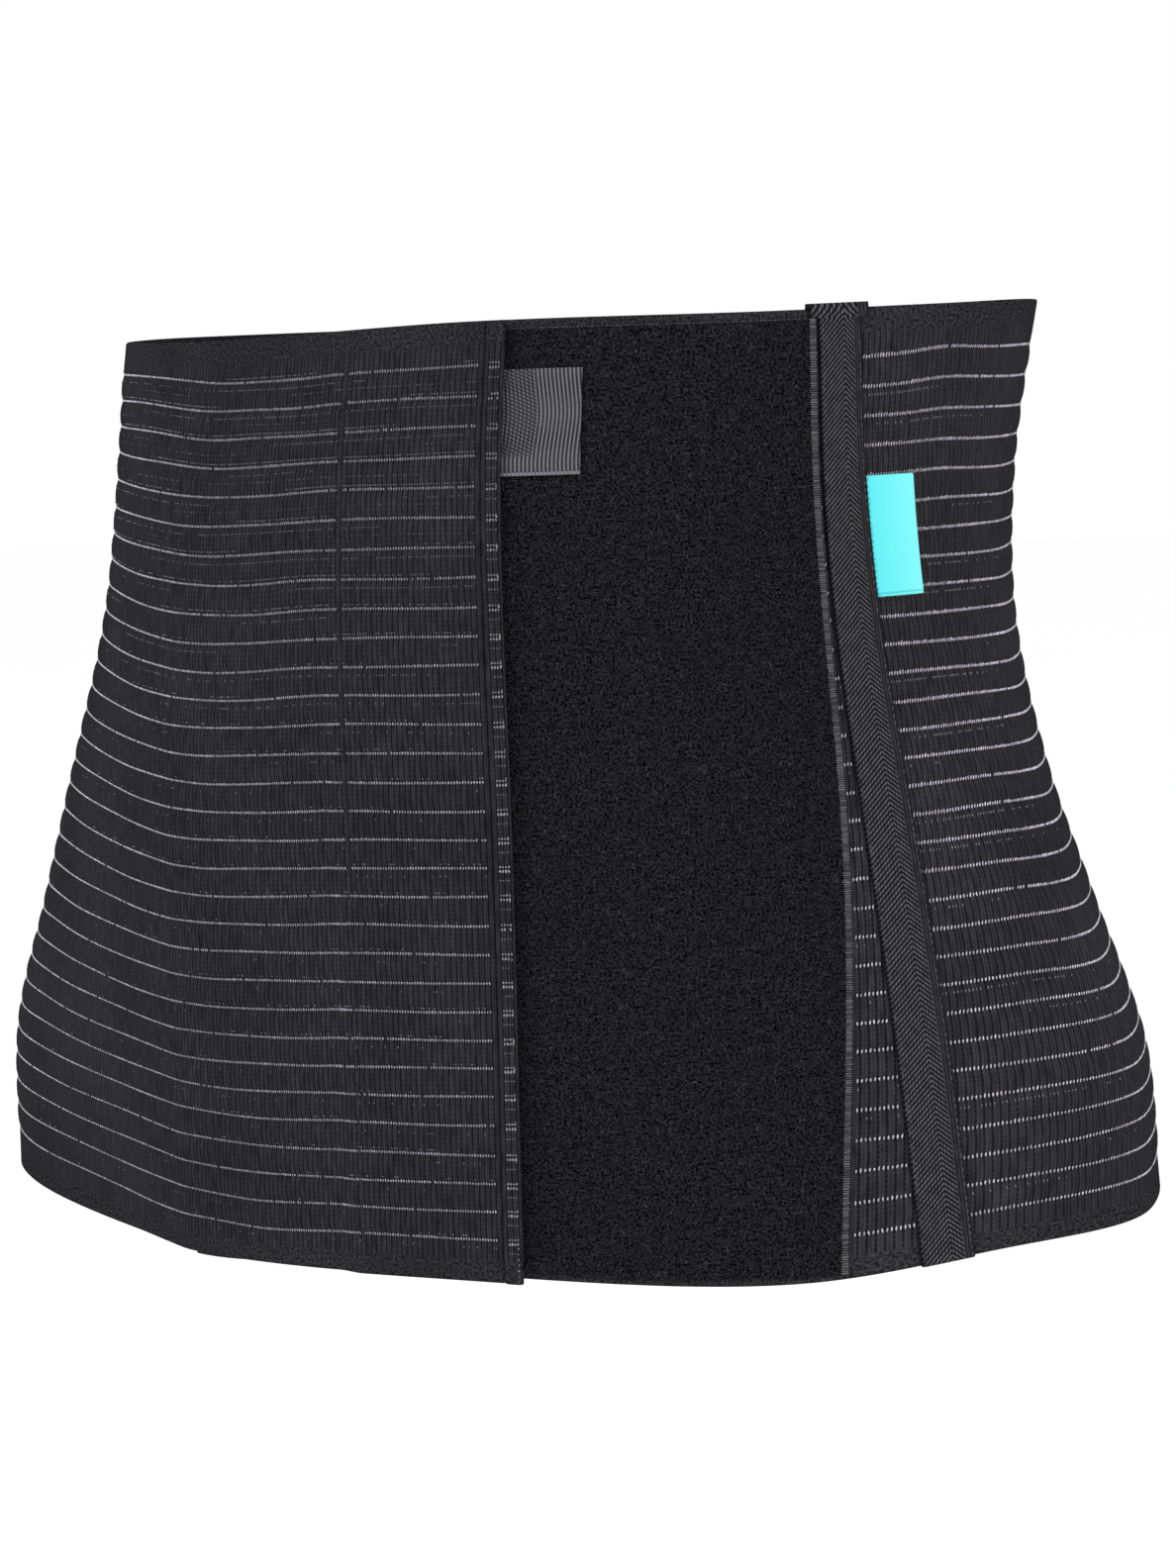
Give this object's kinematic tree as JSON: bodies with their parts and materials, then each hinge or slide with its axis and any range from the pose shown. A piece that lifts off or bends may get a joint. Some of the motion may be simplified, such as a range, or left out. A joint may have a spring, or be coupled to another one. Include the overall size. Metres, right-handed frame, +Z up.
{
  "type": "abdominal binder",
  "caption": "Elastic abdominal binder in its worn form, closed at the front by a hook flap on a fleece panel, with a stay under herringbone tape.",
  "frame": {"origin": "middle of the hollow that the waist fills, at half the band's height", "axes": "+Z up the torso, -Y towards the front, where the flap ends, +X towards the wearer's left"},
  "size_m": [0.3938, 0.2797, 0.2855],
  "materials": {
    "ribbed_elastic": "ribbed knit elastic with pale stripe threads",
    "black_fleece": "brushed pile",
    "hook_tape": "hook pile",
    "grey_webbing": "ribbed webbing",
    "herringbone_tape": "herringbone twill",
    "teal_label": "satin weave"
  },
  "bodies": {
    "root": {"elastic_wrap": "ribbed_elastic", "loop_panel": "black_fleece", "hook_strip": "hook_tape", "pull_tab": "grey_webbing", "stay_tape": "herringbone_tape", "side_label": "teal_label"}
  },
  "joints": []
}
